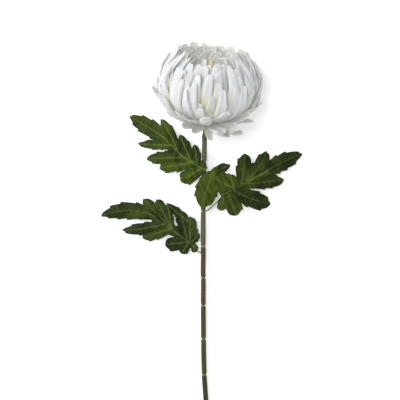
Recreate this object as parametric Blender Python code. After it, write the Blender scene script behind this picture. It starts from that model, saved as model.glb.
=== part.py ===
"""An artificial chrysanthemum: one white flower head on a notched plastic stem with three leaves.

The stem lies on a table, which is the plane z = 0. The cut end points to -Y, the flower head lies
at +Y and faces up and away from the stem. The head is made as the real one is: rings of petals, cut
from fabric and threaded on a plastic pin, with a green calyx below them and an eye above them. The
stem is moulded over a steel wire, and each leaf is a fabric blade on a plastic rib, whose peg sits
in a socket in the stem.
"""

import math
from typing import NamedTuple

import bmesh
import bpy
from mathutils import Vector
from mathutils.geometry import delaunay_2d_cdt

MM = 0.001
GAP = 0.3 * MM  # left between pieces that touch in the real object

# The flower head. Its own frame has its origin at the middle of the globe of petals, and its axis
# runs from the stem through the middle of the flower.
HEAD_PLACE = (10.5 * MM, 133.5 * MM)  # over the table, in plan
HEAD_RISE = math.radians(28)  # how far the axis is tipped up from the table
HEAD_TURN = math.radians(6)  # how far it is turned from +Y to +X
FIRST_INCURVED = 2  # the rings before this one spread outwards
HUB_LOW = -42 * MM  # the hub of the lowest ring, on the axis
HUB_PITCH = 2.0 * MM
HUB_THICK = 1.6 * MM
HUB_RADII = 5 * MM, 3.6 * MM  # of the lowest and highest ring
HUB_BORE = 1.9 * MM
PETAL_THICK = 0.6 * MM
SETTLE_FROM = 42 * MM  # below the middle of the head
SETTLE_GIVE = 30 * MM
PIN_RADIUS = 1.5 * MM


class Ring(NamedTuple):
    """A ring of petals: how many it has, half the width of one, the radius where the ring is widest,
    the angle round its oval from the hub to the tips, and the height of the tips. In mm and degrees."""

    count: int
    half: float
    girth: float
    turn: float
    rise: float


RINGS = (
    Ring(20, 7.4, 66.5, 76, -7),
    Ring(20, 7.4, 65, 93, 7),
    Ring(23, 6.7, 63, 127, 36),
    Ring(23, 6.7, 60.6, 132, 39.2),
    Ring(22, 6.7, 58.4, 135.5, 41.2),
    Ring(21, 6.6, 55.5, 138, 42.2),
    Ring(19, 6.6, 52, 140, 42.2),
    Ring(17, 6.4, 47.5, 141, 41.2),
    Ring(15, 6.2, 42, 142, 39.8),
    Ring(12, 6.0, 36, 142, 38.2),
    Ring(10, 5.4, 29, 142, 36.8),
    Ring(7, 4.8, 21.5, 141, 35.6),
    Ring(5, 3.6, 14, 142, 34.6),
)

# The stem.
STEM_RADIUS = 3.0 * MM
NECK_RADIUS = 1.8 * MM
SHOULDER = 3.0 * MM  # from the middle of a notch to the full thickness
WIRE_RADIUS = 0.8 * MM
CUT_END = (12.5 * MM, -300 * MM)
STEM_REST = 11.5 * MM  # height of the stem's middle where it has levelled out
STEM_BEND = 5 * MM  # how much higher its first knot lies, where it comes down from the head
NOTCHES = (79.6, 46.6, 16, -13.5, -56.5, -95, -129, -170, -214, -257)  # along Y, mm
STEM_COURSE = ((68, 5.4), (47, 4.9), (0, 3.9), (-57, 3.8), (-129, 3.9), (-170, 4.2), (-214, 5.0), (-257, 8.0))

# The leaves.
BLADE_THICK = 0.8 * MM
BLADE_MESH = 6.5 * MM
RIB_RADIUS = 0.9 * MM
RIB_SLACK = 0.5 * MM
PEG_DEEP = 1.2 * MM


def clear_scene():
    for obj in list(bpy.data.objects):
        bpy.data.objects.remove(obj)


def material(name, colour, roughness, metallic=0.0):
    made = bpy.data.materials.new(name)
    made.use_nodes = True
    shader = made.node_tree.nodes["Principled BSDF"]
    shader.inputs["Base Color"].default_value = (*colour, 1)
    shader.inputs["Roughness"].default_value = roughness
    shader.inputs["Metallic"].default_value = metallic
    return made


def node(name, mesh, finish, smooth_under=35):
    """Makes one named object of a bmesh, with its faces pointing out."""
    bmesh.ops.recalc_face_normals(mesh, faces=mesh.faces)
    data = bpy.data.meshes.new(name)
    mesh.to_mesh(data)
    mesh.free()
    data.shade_smooth()
    data.set_sharp_from_angle(angle=math.radians(smooth_under))
    data.materials.append(finish)
    made = bpy.data.objects.new(name, data)
    bpy.context.scene.collection.objects.link(made)
    return made


# ---------------------------------------------------------------- the head's frame


def head_axes():
    """The head's axis, its right side, and the side that faces up from the table."""
    flat = Vector((math.sin(HEAD_TURN), math.cos(HEAD_TURN), 0))
    axis = flat * math.cos(HEAD_RISE) + Vector((0, 0, math.sin(HEAD_RISE)))
    right = axis.cross(Vector((0, 0, 1))).normalized()
    return axis, right, right.cross(axis)


AXIS, RIGHT, FRONT = head_axes()


def around(angle):
    return RIGHT * math.cos(angle) + FRONT * math.sin(angle)


# ---------------------------------------------------------------- petals


def hub_radius(ring):
    low, high = HUB_RADII
    return low + (high - low) * ring / (len(RINGS) - 1)


def snug_profile(ring, share, leaned=0.0):
    """(radius, height) on the oval that a ring's petals follow, from its hub at 0 to its tips at 1.
    Petals on the far side are leaned back, up to 1, which opens the head there like a bowl."""
    radius, last = RINGS[ring].girth * MM, math.radians(RINGS[ring].turn * (1 - 0.15 * leaned))
    low = HUB_LOW + ring * HUB_PITCH
    rise = (RINGS[ring].rise - (5 + 1.2 * (ring - FIRST_INCURVED)) * leaned) * MM
    half = (rise - low) / (1 - math.cos(last))
    first = math.asin(hub_radius(ring) / radius)
    angle = first + (last - first) * share
    lift = half * (1 - math.cos(first)) * (1 - share)
    return radius * math.sin(angle), low + half * (1 - math.cos(angle)) - lift


def open_profile(ring, share):
    """(radius, height) of a petal of a spreading ring that hangs free, by a curve of three points."""
    low = HUB_LOW + ring * HUB_PITCH
    bend = Vector((36, -48 + 5 * ring)) * MM
    tip = Vector((70 + 4 * ring, -37 + 6 * ring)) * MM
    start = Vector((hub_radius(ring), low))
    return start * (1 - share) ** 2 + bend * 2 * share * (1 - share) + tip * share**2


def smooth(low, high, value):
    """0 at low, 1 at high, and a smooth rise between them."""
    share = min(1.0, max(0.0, (value - low) / (high - low)))
    return share * share * (3 - 2 * share)


def openness(ring, angle):
    """How far a petal at this angle stands open: not at all where the head lies on the table, partly
    at the front left, and fully at the front right."""
    if ring >= FIRST_INCURVED:
        return 0.0
    turn = math.degrees(angle) % 360
    drooping = (0.8, 0.42)[ring] * smooth(165, 98, turn) * smooth(60, 100, turn)
    spread = smooth(8 + 8 * ring, 56 + 8 * ring, turn) * smooth(94, 82, turn)
    return max(drooping, spread)


def settled(point):
    """The head's weight presses its lowest petals a little flat on the table."""
    under = -SETTLE_FROM - point.z
    if under > 0:
        point.z = -SETTLE_FROM - under / (1 + under / SETTLE_GIVE)
    return point


def petal_profile(ring, angle, share):
    opened = openness(ring, angle)
    leaned = smooth(-0.5, -0.95, math.sin(angle)) if ring >= FIRST_INCURVED else 0.0
    snug = Vector(snug_profile(ring, share, leaned))
    return snug.lerp(Vector(open_profile(ring, share)), opened) if opened else snug


def petal_half(ring, share, radius):
    """Half the petal's width: narrow at the hub, widest past the middle, blunt at the tip."""
    pitch = 2 * math.pi * radius / RINGS[ring].count
    grown = math.sin(math.pi / 2 * min(1.0, share / 0.65)) ** 1.2
    rounded = 1 - 0.62 * max(0.0, (share - 0.7) / 0.3) ** 2
    return min(RINGS[ring].half * MM * grown * rounded, 0.46 * pitch)


def petal_angles(ring):
    """The angles of a ring's petals. Each ring is turned by half a petal from the last one."""
    count = RINGS[ring].count
    start = math.radians(82) + math.pi / count * (ring % 2)
    return [start + 2 * math.pi * k / count for k in range(count)]


def petal_rows(ring, angle, rows):
    """(middle, half of it sideways, normal) for each row across a petal, in the head's frame."""
    outward, side = around(angle), around(angle + math.pi / 2)
    found = []
    for row in range(1, rows + 1):
        share = row / rows
        before, here = (petal_profile(ring, angle, share + step) for step in (-0.02, 0))
        along = (here - before).normalized()
        middle = outward * here.x + AXIS * here.y
        normal = outward * along.y - AXIS * along.x
        found.append((middle, side * petal_half(ring, share, here.x), normal))
    return found


def petal_ring(ring, rows):
    """One ring as it is cut from fabric: a hub with a hole for the pin, and its petals."""
    mesh = bmesh.new()
    count, hub = RINGS[ring].count, AXIS * (HUB_LOW + ring * HUB_PITCH)
    angles = petal_angles(ring)
    bore = HUB_BORE / math.cos(math.pi / count)

    def loop(radius, height):
        """The hub's points halfway between the petals, at one radius and height."""
        return [
            mesh.verts.new(hub + around(angle - math.pi / count) * radius + AXIS * height)
            for angle in angles
        ]

    rim = hub_radius(ring)
    outer = [loop(rim, -HUB_THICK / 2), loop(rim, HUB_THICK / 2)]
    inner = [loop(bore, -HUB_THICK / 2), loop(bore, HUB_THICK / 2)]
    for k in range(count):
        after = (k + 1) % count
        for level in (0, 1):
            mesh.faces.new((inner[level][k], inner[level][after], outer[level][after], outer[level][k]))
        mesh.faces.new((inner[0][k], inner[0][after], inner[1][after], inner[1][k]))
        last = (outer[0][k], outer[0][after], outer[1][after], outer[1][k])
        for middle, half, normal in petal_rows(ring, angles[k], rows):
            skin = normal * PETAL_THICK / 2
            new = tuple(
                mesh.verts.new(settled(middle + across + away))
                for across, away in ((-half, skin), (half, skin), (half, -skin), (-half, -skin))
            )
            for edge in range(4):
                following = (edge + 1) % 4
                mesh.faces.new((last[edge], last[following], new[following], new[edge]))
            last = new
        mesh.faces.new(last)
    return mesh


def head_drop():
    """How far the head reaches below its middle, which sets how high it lies."""
    return -min(
        settled(middle + half * across + normal * away * PETAL_THICK / 2).z
        for ring in range(6)
        for angle in petal_angles(ring)
        for middle, half, normal in petal_rows(ring, angle, 6)
        for across in (-1, 1)
        for away in (-1, 1)
    )


HEAD = Vector((*HEAD_PLACE, head_drop()))


# ---------------------------------------------------------------- turned pieces of the head


def turned(loops, columns):
    """A closed solid of rings round the head's axis. A loop is (radius, height) or a function of the
    angle that gives them, and the first and last loop close on the axis at their own height."""
    mesh = bmesh.new()
    rings = []
    for loop in loops:
        ring = []
        for k in range(columns):
            angle = 2 * math.pi * k / columns
            radius, height = loop(angle) if callable(loop) else loop
            ring.append(mesh.verts.new(around(angle) * radius + AXIS * height))
        rings.append(ring)
    for low, high in zip(rings, rings[1:]):
        for k in range(columns):
            after = (k + 1) % columns
            mesh.faces.new((low[k], low[after], high[after], high[k]))
    for end in (rings[0], rings[-1]):
        mesh.faces.new(end)
    return mesh


CALYX_TOP = HUB_LOW - HUB_THICK / 2 - GAP
CALYX_DEEP = 11 * MM
SOCKET_DEEP = 4 * MM
PIN_HOLE_DEEP = 5.7 * MM
SEPALS = 6


def sepal_rim(below):
    """The calyx's rim, which runs out to a point at each sepal and turns back a little there."""

    def rim(angle):
        point = (0.5 + 0.5 * math.cos(SEPALS * angle)) ** 1.5
        return (8 + 7 * point) * MM, CALYX_TOP - (0.6 + 2.6 * point) * MM - below

    return rim


def calyx():
    low = CALYX_TOP - CALYX_DEEP
    hole = PIN_RADIUS + GAP
    socket = NECK_RADIUS + GAP
    return turned(
        (
            (hole, CALYX_TOP - PIN_HOLE_DEEP),
            (hole, CALYX_TOP),
            (6 * MM, CALYX_TOP),
            sepal_rim(0),
            sepal_rim(0.8 * MM),
            (6.2 * MM, CALYX_TOP - 3.4 * MM),
            (5.2 * MM, CALYX_TOP - 7 * MM),
            (3.3 * MM, low),
            (socket, low),
            (socket, low + SOCKET_DEEP),
        ),
        4 * SEPALS,
    )


TOP_HUB = HUB_LOW + (len(RINGS) - 1) * HUB_PITCH + HUB_THICK / 2
PIN_TOP = TOP_HUB + 5 * MM


def flower_pin():
    low = CALYX_TOP - PIN_HOLE_DEEP + GAP
    return turned(((PIN_RADIUS, low), (PIN_RADIUS, PIN_TOP)), 14)


def flower_eye():
    """The long bud pressed on the pin, which holds the rings down and shows between their tips."""
    base = TOP_HUB + GAP
    hole = PIN_RADIUS + GAP
    return turned(
        (
            (hole, PIN_TOP + GAP),
            (hole, base),
            (2.5 * MM, base),
            (3.4 * MM, base + 8 * MM),
            (5.2 * MM, base + 20 * MM),
            (6 * MM, base + 34 * MM),
            (5.4 * MM, base + 45 * MM),
            (3.4 * MM, base + 50 * MM),
            (1 * MM, base + 52 * MM),
        ),
        12,
    )


# ---------------------------------------------------------------- the stem


def hermite(first, last, leave, arrive, share):
    """A point on the curve from first to last with these tangents."""
    s2, s3 = share**2, share**3
    return (
        first * (2 * s3 - 3 * s2 + 1)
        + leave * (s3 - 2 * s2 + share)
        + last * (-2 * s3 + 3 * s2)
        + arrive * (s3 - s2)
    )


def stem_height(y):
    """The height of the stem's middle over the table, which falls gently to the cut end."""
    share = (y - CUT_END[1]) / (STEM_COURSE[0][0] * MM - CUT_END[1])
    return STEM_RADIUS + (STEM_REST - STEM_RADIUS) * max(0.0, share) ** 1.3


def stem_knots():
    knots = [Vector((x * MM, y * MM, stem_height(y * MM))) for y, x in STEM_COURSE]
    knots[0].z += STEM_BEND
    return knots + [Vector((*CUT_END, STEM_RADIUS))]


def stem_line():
    """Points about a millimetre apart from inside the calyx to the cut end."""
    start = HEAD + AXIS * (CALYX_TOP - CALYX_DEEP)
    line = [start + AXIS * (SOCKET_DEEP - GAP)]
    knots = [start] + stem_knots()
    slopes = [-AXIS * (knots[1] - start).length]
    for k in range(1, len(knots) - 1):
        slopes.append((knots[k + 1] - knots[k - 1]) / 2)
    slopes[1] = slopes[1].normalized() * (knots[1] - start).length
    slopes.append(knots[-1] - knots[-2])
    for k in range(len(knots) - 1):
        span = (knots[k + 1] - knots[k]).length
        leave, arrive = (slopes[k + end].normalized() * span for end in (0, 1))
        count = max(4, round(span / MM))
        line += [hermite(knots[k], knots[k + 1], leave, arrive, n / count) for n in range(count)]
    return line + [knots[-1]]


STEM_LINE = stem_line()


def stem_at(y):
    """The point of the stem's middle at this y, past the bend under the head."""
    for before, here in zip(STEM_LINE, STEM_LINE[1:]):
        if here.y <= y <= before.y:
            return before.lerp(here, (before.y - y) / (before.y - here.y))
    return STEM_LINE[-1]


def stem_radius(y):
    """Full thickness along a segment, drawn in to a neck at each notch and above the first one."""
    if y > NOTCHES[0] * MM:
        return NECK_RADIUS
    near = min(abs(y - notch * MM) for notch in NOTCHES)
    if near >= SHOULDER:
        return STEM_RADIUS
    bulge = math.sqrt(max(0.0, 1 - (1 - near / SHOULDER) ** 2))
    return NECK_RADIUS + (STEM_RADIUS - NECK_RADIUS) * bulge


def stem_stations():
    """The y of each ring of the stem past its bend: close together at the notches."""
    offsets = (-1, -0.45, -0.12, 0.12, 0.45, 1)
    stations = {CUT_END[1]}
    for notch in NOTCHES:
        stations |= {notch * MM + share * SHOULDER for share in offsets}
    ends = [NOTCHES[0] * MM] + [notch * MM for notch in NOTCHES[1:]] + [CUT_END[1]]
    for high, low in zip(ends, ends[1:]):
        stations |= {high + (low - high) * share for share in (0.33, 0.67)}
    return sorted((y for y in stations if y <= NOTCHES[0] * MM + SHOULDER), reverse=True)


def stem_course():
    """(point, radius) of each ring of the stem, from the calyx to the cut end."""
    first = stem_stations()[0]
    above = [p for p in STEM_LINE if p.y > first + MM]
    keep = [above[0]] + above[2::3]
    return [(p, NECK_RADIUS) for p in keep] + [(stem_at(y), stem_radius(y)) for y in stem_stations()]


def sweep_rings(mesh, course, sides):
    """Rings of points square to a course of (point, radius), and the course's direction at each."""
    rings = []
    for k, (point, radius) in enumerate(course):
        before, after = course[max(0, k - 1)][0], course[min(len(course) - 1, k + 1)][0]
        along = (after - before).normalized()
        across = along.cross(Vector((0, 0, 1))).normalized()
        up = across.cross(along)
        rings.append(
            [
                mesh.verts.new(
                    point + (across * math.sin(turn) - up * math.cos(turn)) * radius
                )
                for turn in (2 * math.pi * n / sides for n in range(sides))
            ]
        )
    return rings


def skin(mesh, rings):
    for low, high in zip(rings, rings[1:]):
        for k in range(len(low)):
            after = (k + 1) % len(low)
            mesh.faces.new((low[k], low[after], high[after], high[k]))


def rod(course, sides):
    """A solid rod of changing thickness."""
    mesh = bmesh.new()
    rings = sweep_rings(mesh, course, sides)
    skin(mesh, rings)
    mesh.faces.new(rings[0])
    mesh.faces.new(rings[-1])
    return mesh


def wire_course(radius, extra):
    """The course of the wire, or of its bore, from the first segment to the cut end."""
    top = 70 * MM + extra
    stations = [top] + [y for y in stem_stations() if y < top - MM and y in station_ends()]
    return [(stem_at(y), radius) for y in stations]


def station_ends():
    """Only every other station, which is fine enough for a bore that doesn't follow the notches."""
    stations = stem_stations()
    return set(stations[::3]) | {stations[-1]}


def stem():
    """The plastic moulding, with the bore that holds its wire open at the cut end."""
    mesh = bmesh.new()
    outside = sweep_rings(mesh, stem_course(), 12)
    bore = sweep_rings(mesh, wire_course(WIRE_RADIUS + GAP, GAP), 12)
    skin(mesh, outside)
    skin(mesh, bore)
    mesh.faces.new(outside[0])
    mesh.faces.new(bore[0])
    skin(mesh, [outside[-1], bore[-1]])
    return mesh


# ---------------------------------------------------------------- the leaves


class Lobe(NamedTuple):
    """A lobe of a leaf about its own vein: both ends of the vein as (x, y, height) over the table,
    the lobe's greatest half width, how far the vein bows to its left, and how blunt the tip is. All
    but the last are in millimetres."""

    start: tuple
    tip: tuple
    half: float
    bow: float = 0.0
    blunt: float = 2.8


class Leaf(NamedTuple):
    """A leaf: its lobes, its midrib's points in plan, and where its peg enters the stem."""

    lobes: tuple
    midrib: tuple
    peg_y: float
    peg_turn: float  # degrees round the stem, from its right side upwards


UPPER_LEFT = Leaf(
    lobes=(
        Lobe((7, 36, 16.6), (-24, 54, 17), 9, 0),
        Lobe((-19, 51, 17), (-46, 77, 17), 8, 0),
        Lobe((-40, 73, 17), (-87, 103, 1), 10.5, -1),
        Lobe((-28, 61, 17), (-48, 99, 12), 7.5, -1),
        Lobe((-10, 46, 17), (-25, 80, 10), 7.5, 0),
        Lobe((-3, 43, 16.6), (-7, 68, 13), 6, 0),
        Lobe((-30, 66, 17), (-77, 69, 3), 6, 0),
        Lobe((-16, 51, 17), (-66, 50, 3), 8, -1, 3.5),
        Lobe((-8, 46, 17), (-50, 39, 5), 8, 0, 5),
        Lobe((2, 39, 16.6), (-24, 23, 7), 9.5, 0, 5),
    ),
    midrib=((-2, 41), (-15, 48), (-29, 61), (-42, 74), (-56, 84)),
    peg_y=35.5,
    peg_turn=140,
)

RIGHT_LEAF = Leaf(
    lobes=(
        Lobe((25, 5, 24), (64, 25, 17), 10, 0),
        Lobe((58, 23, 18), (83, 35, 14), 8, 0),
        Lobe((73, 31, 15), (126, 57, 1), 10.5, 1.5),
        Lobe((57, 25, 18), (81, 60, 8), 9, -4, 4),
        Lobe((50, 20, 19), (55, 57, 8), 9.5, -1, 4),
        Lobe((52, 20, 18), (103, 25, 4), 8, -1, 5),
        Lobe((42, 11, 19), (87, -5, 1), 11, -2, 4),
        Lobe((35, 8, 23), (45, -19, 8), 10, 0, 5),
        Lobe((29, 4, 23), (25, -13, 14), 6, 0, 5),
        Lobe((12, 31, 23), (37, 43, 17), 6, 0),
        Lobe((41, 12, 22), (37, 31, 20), 7, 0, 4),
        Lobe((40, 15, 26), (15, 27, 25), 13, 0),
        Lobe((16, 33, 23), (4, -11, 19), 14, -2),
    ),
    midrib=((27, 3), (40, 15), (53, 19), (76, 31), (96, 42)),
    peg_y=-13.5,
    peg_turn=35,
)

LOWER_LEFT = Leaf(
    lobes=(
        Lobe((-3, -60, 9.5), (-31, -38, 15), 5, 0),
        Lobe((-25, -43, 15), (-62, -18, 14), 8, 0),
        Lobe((-54, -20, 15), (-122, -20, 1), 10.5, -7),
        Lobe((-34, -35, 15), (-70, 1, 6), 8.5, 0, 5),
        Lobe((-36, -32, 15), (-53, 1, 8), 7, 0, 5),
        Lobe((-34, -34, 15), (-40, -5, 12), 4.5, 0),
        Lobe((-43, -29, 15), (-96, -37, 2), 7.5, 2),
        Lobe((-35, -35, 15), (-71, -46, 3), 7.5, 0, 5),
        Lobe((-15, -50, 14), (-24, -13, 8), 8.5, 0, 4),
        Lobe((-15, -26, 9), (-41, -4, 10), 5.5, 0),
        Lobe((-12, -50, 14), (-12, -20, 9), 9, 0, 4),
        Lobe((-10, -52, 13), (-1, -40, 12), 5, 0),
        Lobe((-14, -51, 14), (-43, -55, 3), 9, 0, 5),
        Lobe((-14, -52, 13), (-23, -66, 2), 6, 0, 5),
        Lobe((-8, -56, 12), (-6, -64, 11), 4, 0, 5),
    ),
    midrib=((-9, -55), (-29, -40), (-44, -29), (-62, -18), (-87, -14)),
    peg_y=-64,
    peg_turn=185,
)

LEAVES = {"leaf_upper_left": UPPER_LEFT, "leaf_right": RIGHT_LEAF, "leaf_lower_left": LOWER_LEFT}


def vein_point(lobe, share):
    """A point of the lobe's vein, (x, y, height), in metres."""
    start, tip = Vector(lobe.start), Vector(lobe.tip)
    run = tip - start
    left = Vector((-run.y, run.x, 0)).normalized()
    return (start + run * share + left * (lobe.bow * 4 * share * (1 - share))) * MM


def lobe_half(lobe, share):
    """Half the lobe's width along its vein: it swells past the start and closes to a blunt point."""
    if share < 0.45:
        return lobe.half * MM * (0.45 + 0.55 * math.sin(math.pi / 2 * share / 0.45))
    return lobe.half * MM * (1 - ((share - 0.45) / 0.55) ** lobe.blunt)


def lobe_outline(lobe, steps):
    """The lobe's edge in plan, up its right side and back down its left."""
    sides = ([], [])
    for n in range(steps):
        share = n / steps
        ahead, here = vein_point(lobe, share + 0.01), vein_point(lobe, share)
        along = (ahead - here).to_2d().normalized()
        across = Vector((along.y, -along.x)) * lobe_half(lobe, share)
        for side, sign in zip(sides, (1, -1)):
            side.append(here.to_2d() + across * sign)
    return sides[0] + [vein_point(lobe, 1).to_2d()] + sides[1][::-1]


def blade_height(leaf, place):
    """The blade's height over a place in plan: a mean of the veins' heights that favours the nearest."""
    total = weight = 0.0
    for lobe in leaf.lobes:
        for n in range(9):
            vein = vein_point(lobe, n / 8)
            near = 1 / ((vein.to_2d() - place).length_squared + (2.5 * MM) ** 2) ** 2
            total += near * vein.z
            weight += near
    return total / weight


def union_edges(outlines):
    """The outside edges of overlapping outlines, as (points, pairs of their numbers)."""
    points, faces = [], []
    for outline in outlines:
        faces.append(list(range(len(points), len(points) + len(outline))))
        points += outline
    found = delaunay_2d_cdt(points, [], faces, 1, 1e-6)
    places, triangles, owners = found[0], found[2], found[5]
    uses = {}
    for triangle, owner in zip(triangles, owners):
        if owner:
            for k in range(3):
                edge = tuple(sorted((triangle[k], triangle[k - 1])))
                uses[edge] = uses.get(edge, 0) + 1
    border = [edge for edge, count in uses.items() if count == 1]
    used = sorted({n for edge in border for n in edge})
    number = {old: new for new, old in enumerate(used)}
    return [places[n] for n in used], [(number[a], number[b]) for a, b in border]


def inside(outlines, place):
    """Whether a place in plan lies inside any of the outlines."""
    for outline in outlines:
        odd = False
        for a, b in zip(outline, outline[1:] + outline[:1]):
            if (a.y > place.y) != (b.y > place.y):
                odd ^= place.x < a.x + (place.y - a.y) / (b.y - a.y) * (b.x - a.x)
        if odd:
            return True
    return False


def fill_points(outlines, border, spacing):
    """Places on a triangular grid inside the leaf and clear of its edge."""
    xs, ys = [p.x for p in border], [p.y for p in border]
    row_step = spacing * math.sqrt(3) / 2
    found = []
    for row in range(int((max(ys) - min(ys)) / row_step) + 1):
        for column in range(int((max(xs) - min(xs)) / spacing) + 1):
            place = Vector((min(xs) + (column + row % 2 / 2) * spacing, min(ys) + row * row_step))
            if inside(outlines, place) and min((place - p).length for p in border) > 0.6 * spacing:
                found.append(place)
    return found


def blade(leaf):
    """The leaf's fabric: a flat mesh of its outline, raised to its height, with some thickness."""
    outlines = [lobe_outline(lobe, 6) for lobe in leaf.lobes]
    border, edges = union_edges(outlines)
    places = border + fill_points(outlines, border, BLADE_MESH)
    found = delaunay_2d_cdt(places, edges, [], 0, 1e-6)
    mesh = bmesh.new()
    heights = [blade_height(leaf, p) for p in found[0]]
    upper, lower = (
        [
            mesh.verts.new((p.x, p.y, height + side * BLADE_THICK / 2))
            for p, height in zip(found[0], heights)
        ]
        for side in (1, -1)
    )
    for triangle in found[2]:
        centre = sum((found[0][n] for n in triangle), Vector((0, 0))) / 3
        if inside(outlines, centre):
            mesh.faces.new([upper[n] for n in triangle])
            mesh.faces.new([lower[n] for n in reversed(triangle)])
    rim = [edge for edge in mesh.edges if len(edge.link_faces) == 1]
    twin = dict(zip(upper, lower))
    for edge in rim:
        if edge.verts[0] in twin:
            a, b = edge.verts
            mesh.faces.new((a, b, twin[b], twin[a]))
    loose = [v for v in mesh.verts if not v.link_faces]
    bmesh.ops.delete(mesh, geom=loose, context="VERTS")
    return mesh


def peg_line(leaf):
    """Where the leaf's peg enters the stem, and its direction out of it."""
    y = leaf.peg_y * MM
    turn = math.radians(leaf.peg_turn)
    return stem_at(y), Vector((math.cos(turn), 0, math.sin(turn)))


def below_blade(leaf, place):
    """Where the middle of the rib runs, clear of the blade's lowest part above it."""
    beside = [Vector((x, y)) * 4 * MM for x, y in ((0, 0), (1, 0), (-1, 0), (0, 1), (0, -1))]
    height = min(blade_height(leaf, place + step) for step in beside)
    return Vector((*place, height - BLADE_THICK / 2 - GAP - RIB_RADIUS - RIB_SLACK))


def rib_course(leaf):
    """(point, radius) of the rib: its peg in the stem, the leaf stalk, and the run below the blade."""
    middle, out = peg_line(leaf)
    under = [below_blade(leaf, Vector(place) * MM) for place in leaf.midrib]
    seat = middle + out * (STEM_RADIUS - PEG_DEEP + GAP)
    leave = middle + out * (STEM_RADIUS + 2.5 * MM)
    arrive = (under[1] - under[0]) * 0.5
    bend = [hermite(leave, under[0], out * 3 * MM, arrive, share) for share in (0.33, 0.67)]
    course = [(seat, RIB_RADIUS), (leave, RIB_RADIUS)] + [(p, RIB_RADIUS) for p in bend]
    for k, (a, b) in enumerate(zip(under, under[1:])):
        for share in (0, 0.5):
            thin = RIB_RADIUS * (1 - 0.13 * (k + share))
            course.append((below_blade(leaf, a.lerp(b, share).to_2d()), thin))
    return course + [(under[-1], RIB_RADIUS * 0.45)]


def rib_socket(leaf):
    """The cutter for the hole in the stem that takes the leaf's peg."""
    middle, out = peg_line(leaf)
    radius = RIB_RADIUS + GAP
    return rod(
        [(middle + out * (STEM_RADIUS - PEG_DEEP), radius), (middle + out * 6 * MM, radius)], 10
    )


def drill_sockets(moulding, finish):
    for name, leaf in LEAVES.items():
        cutter = node(f"cutter_{name}", rib_socket(leaf), finish)
        cutter.hide_render = True
        cutter.display_type = "WIRE"
        cut = moulding.modifiers.new(f"socket_{name}", "BOOLEAN")
        cut.object = cutter
        cut.operation = "DIFFERENCE"


# ---------------------------------------------------------------- the whole object


def build_head(petal, green, eye):
    pieces = []
    for ring in range(len(RINGS)):
        rows = 6 if ring < 10 else 5
        pieces.append(node(f"petal_ring_{ring + 1:02d}", petal_ring(ring, rows), petal))
    pieces.append(node("calyx", calyx(), green))
    pieces.append(node("flower_pin", flower_pin(), green))
    pieces.append(node("flower_eye", flower_eye(), eye))
    for piece in pieces:
        piece.location = HEAD


def build_stem(plastic, steel):
    moulding = node("stem", stem(), plastic)
    drill_sockets(moulding, plastic)
    node("stem_wire", rod(wire_course(WIRE_RADIUS, 0), 8), steel)


def build_leaves(green, plastic):
    for name, leaf in LEAVES.items():
        node(f"{name}_blade", blade(leaf), green)
        node(f"{name}_rib", rod(rib_course(leaf), 8), plastic)


def set_origin():
    """Moves everything so that the origin is at the table, under the middle of the object."""
    bpy.context.view_layer.update()
    shown = [obj for obj in bpy.data.objects if not obj.hide_render]
    corners = [obj.matrix_world @ v.co for obj in shown for v in obj.data.vertices]
    low = Vector([min(c[k] for c in corners) for k in range(3)])
    high = Vector([max(c[k] for c in corners) for k in range(3)])
    step = Vector(((low.x + high.x) / 2, (low.y + high.y) / 2, low.z))
    for obj in bpy.data.objects:
        obj.location -= step


def main():
    clear_scene()
    petal = material("petal_fabric", (0.86, 0.86, 0.82), 0.75)
    eye = material("eye_plastic", (0.72, 0.66, 0.32), 0.6)
    leaf_green = material("leaf_fabric", (0.07, 0.14, 0.03), 0.5)
    plastic = material("stem_plastic", (0.22, 0.25, 0.12), 0.5)
    steel = material("wire_steel", (0.5, 0.5, 0.5), 0.4, 1.0)
    build_head(petal, plastic, eye)
    build_stem(plastic, steel)
    build_leaves(leaf_green, plastic)
    set_origin()


main()
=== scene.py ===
# %% [markdown]
# # An artificial chrysanthemum
#
# The object is a single stem with one large white flower head and three leaves. It lies on a table and is
# seen from straight above. The CAD model gives the size and the place of every piece. This script builds
# the petals, the leaf blades and the stem again with a fine shape, inside the same space, and gives the
# other pieces a finish.

# %% Load the CAD model, which is the fixed frame
import math
import random
from typing import NamedTuple

import bpy
import numpy as np
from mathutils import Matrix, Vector, kdtree
from mathutils.geometry import delaunay_2d_cdt


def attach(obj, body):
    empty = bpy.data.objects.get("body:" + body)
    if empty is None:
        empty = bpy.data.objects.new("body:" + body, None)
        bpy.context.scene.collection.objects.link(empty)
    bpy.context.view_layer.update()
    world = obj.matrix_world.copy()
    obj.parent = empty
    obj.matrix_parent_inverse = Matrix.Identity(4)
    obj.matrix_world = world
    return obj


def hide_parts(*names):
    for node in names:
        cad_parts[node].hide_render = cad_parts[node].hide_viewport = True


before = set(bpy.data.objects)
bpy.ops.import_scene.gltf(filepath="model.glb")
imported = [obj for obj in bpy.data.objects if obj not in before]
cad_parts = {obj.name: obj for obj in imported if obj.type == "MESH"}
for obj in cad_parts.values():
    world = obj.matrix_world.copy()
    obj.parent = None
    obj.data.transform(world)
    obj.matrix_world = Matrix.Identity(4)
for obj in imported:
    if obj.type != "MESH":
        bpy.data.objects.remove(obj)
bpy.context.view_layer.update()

MM = 0.001

# %% [markdown]
# ## Where the flower head is
#
# All petals are threaded on one straight pin, so the pin tells where the head is and how it is tipped. The
# pin's mesh is long and thin: the direction in which its points spread most is its axis. Reading this from
# the mesh keeps the looks and the CAD model together without any fitting by eye.

# %% The head's axis and middle, from the pin
PIN_FOOT = 48.5 * MM  # from the middle of the head down to the pin's lower end


def node_points(name):
    """The points of a CAD node, each once, as an array."""
    found = np.array([vertex.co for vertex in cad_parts[name].data.vertices])
    return np.unique(found.round(7), axis=0)


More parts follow.
